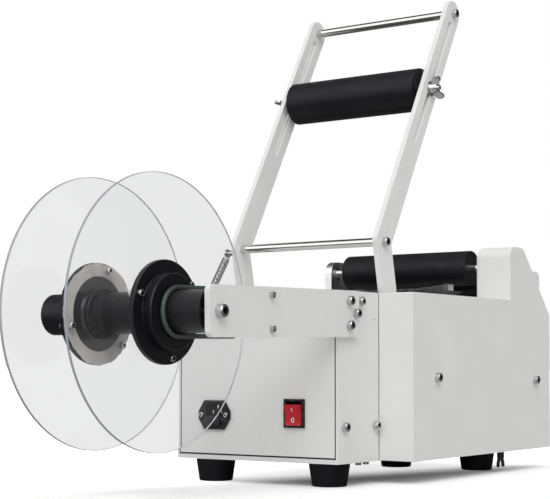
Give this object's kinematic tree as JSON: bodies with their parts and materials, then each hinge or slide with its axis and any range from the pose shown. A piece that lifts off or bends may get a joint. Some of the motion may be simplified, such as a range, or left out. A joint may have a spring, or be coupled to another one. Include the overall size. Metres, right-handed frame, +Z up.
{
  "type": "bottle labeling machine",
  "caption": "Bench machine that labels round bottles: a white body on feet, a label reel on an arm, a swinging press frame with a roller, and a driven roller cradle.",
  "frame": {"origin": "on the table, under the middle of the machine's overall box", "axes": "+X from the label reel towards the bottle rollers, +Y away from the drive cover, +Z up"},
  "size_m": [0.809, 0.2802, 0.5865],
  "materials": {
    "white_paint": "white powder coat, fine texture",
    "clear_acrylic": "clear polished acrylic",
    "black_plastic": "satin black",
    "black_rubber": "matt black rubber",
    "green_belt": "dull green polyurethane",
    "stainless": "polished",
    "zinc_screws": "bright zinc",
    "aluminium": "satin",
    "red_rocker": "glossy red",
    "kraft_paper": "torn protective paper",
    "black_steel": "black oxide",
    "circuit_board": "solder mask",
    "spring_steel": "bright wire"
  },
  "bodies": {
    "body": {"base_tray": "white_paint", "near_frame_plate": "white_paint", "far_frame_plate": "white_paint", "end_panel": "white_paint", "rear_panel": "white_paint", "deck_plate": "white_paint", "drive_cover": "white_paint", "stop_lug": "white_paint", "body_screws": "zinc_screws", "rubber_feet": "black_rubber", "reel_arm": "white_paint", "reel_spindle": "stainless", "brake_posts": "zinc_screws", "brake_belt": "green_belt", "power_inlet": "black_plastic", "inlet_screws": "zinc_screws", "switch_bezel": "black_plastic", "pivot_shaft": "stainless", "stop_buffers": "black_rubber", "spring_anchor": "zinc_screws", "return_spring": "spring_steel", "roller_bearings": "stainless", "roller_bracket": "aluminium", "idler_axle": "stainless", "drive_motor": "black_steel", "drive_belt": "black_rubber", "peel_plate": "black_steel", "label_guide": "clear_acrylic", "power_supply": "aluminium", "control_board": "circuit_board", "control_panel": "black_plastic", "start_switch": "black_plastic", "tension_screw": "black_steel"},
    "press_frame": {"near_arm": "white_paint", "far_arm": "white_paint", "handle_bar": "stainless", "tie_bar": "stainless", "frame_bolts": "zinc_screws", "spring_pin": "zinc_screws"},
    "press_carriage": {"press_axle": "stainless", "wing_nuts": "zinc_screws"},
    "press_wheel": {"press_core": "black_plastic", "press_roller": "black_rubber"},
    "reel": {"reel_tube": "black_plastic", "reel_bushes": "black_plastic", "near_flange": "black_plastic", "near_disc": "clear_acrylic", "near_flange_screws": "zinc_screws"},
    "far_side": {"far_flange": "black_plastic", "far_disc": "clear_acrylic", "far_paper_ring": "kraft_paper", "far_flange_screws": "zinc_screws"},
    "drive_wheel": {"drive_shaft": "stainless", "drive_roller": "black_rubber", "drive_pulley": "aluminium"},
    "idler_wheel": {"idler_roller": "black_rubber"},
    "motor_rotor": {"motor_pulley": "aluminium"},
    "traction_wheel": {"traction_roller": "black_rubber"},
    "pinch_wheel": {"pinch_roller": "black_rubber"},
    "rocker": {"switch_rocker": "red_rocker"}
  },
  "joints": [
    {"name": "press_swing", "type": "hinge", "parent": "body", "child": "press_frame", "pos_m": [0.0885, 0.01785, 0.1705], "axis": [0, 1, 0], "range_deg": [0, 38], "stiffness_Nm_per_rad": 6, "springref_deg": -34.38, "deforming": ["return_spring"]},
    {"name": "press_slide", "type": "slide", "parent": "press_frame", "child": "press_carriage", "axis": [0.5012, 0, 0.8654], "range_m": [-0.075, 0.085]},
    {"name": "press_spin", "type": "hinge", "parent": "press_carriage", "child": "press_wheel", "pos_m": [0.17876, 0.01785, 0.46734], "axis": [0, 1, 0], "continuous": true},
    {"name": "reel_spin", "type": "hinge", "parent": "body", "child": "reel", "pos_m": [-0.267, 0.01785, 0.1841], "axis": [0, 1, 0], "continuous": true},
    {"name": "far_side_slide", "type": "slide", "parent": "reel", "child": "far_side", "axis": [0, 1, 0], "range_m": [-0.045, 0.036]},
    {"name": "drive_spin", "type": "hinge", "parent": "body", "child": "drive_wheel", "pos_m": [0.31, 0.01785, 0.2565], "axis": [0, 1, 0], "continuous": true},
    {"name": "idler_spin", "type": "hinge", "parent": "body", "child": "idler_wheel", "pos_m": [0.3545, 0.01785, 0.2295], "axis": [0, 1, 0], "continuous": true},
    {"name": "motor_spin", "type": "hinge", "parent": "body", "child": "motor_rotor", "pos_m": [0.3105, -0.09015, 0.1055], "axis": [0, 1, 0], "continuous": true},
    {"name": "traction_spin", "type": "hinge", "parent": "body", "child": "traction_wheel", "pos_m": [0.3545, 0.01785, 0.1755], "axis": [0, 1, 0], "continuous": true},
    {"name": "pinch_spin", "type": "hinge", "parent": "body", "child": "pinch_wheel", "pos_m": [0.3545, 0.01785, 0.1532], "axis": [0, 1, 0], "continuous": true},
    {"name": "rocker_tilt", "type": "hinge", "parent": "body", "child": "rocker", "pos_m": [-0.0415, -0.03415, 0.0795], "axis": [0, 1, 0], "range_deg": [0, 20]}
  ],
  "couplings": [
    {"joint": "motor_spin", "follows": "drive_spin", "ratio": 1.5},
    {"joint": "traction_spin", "follows": "drive_spin", "ratio": 1.25},
    {"joint": "pinch_spin", "follows": "drive_spin", "ratio": -1.5}
  ]
}
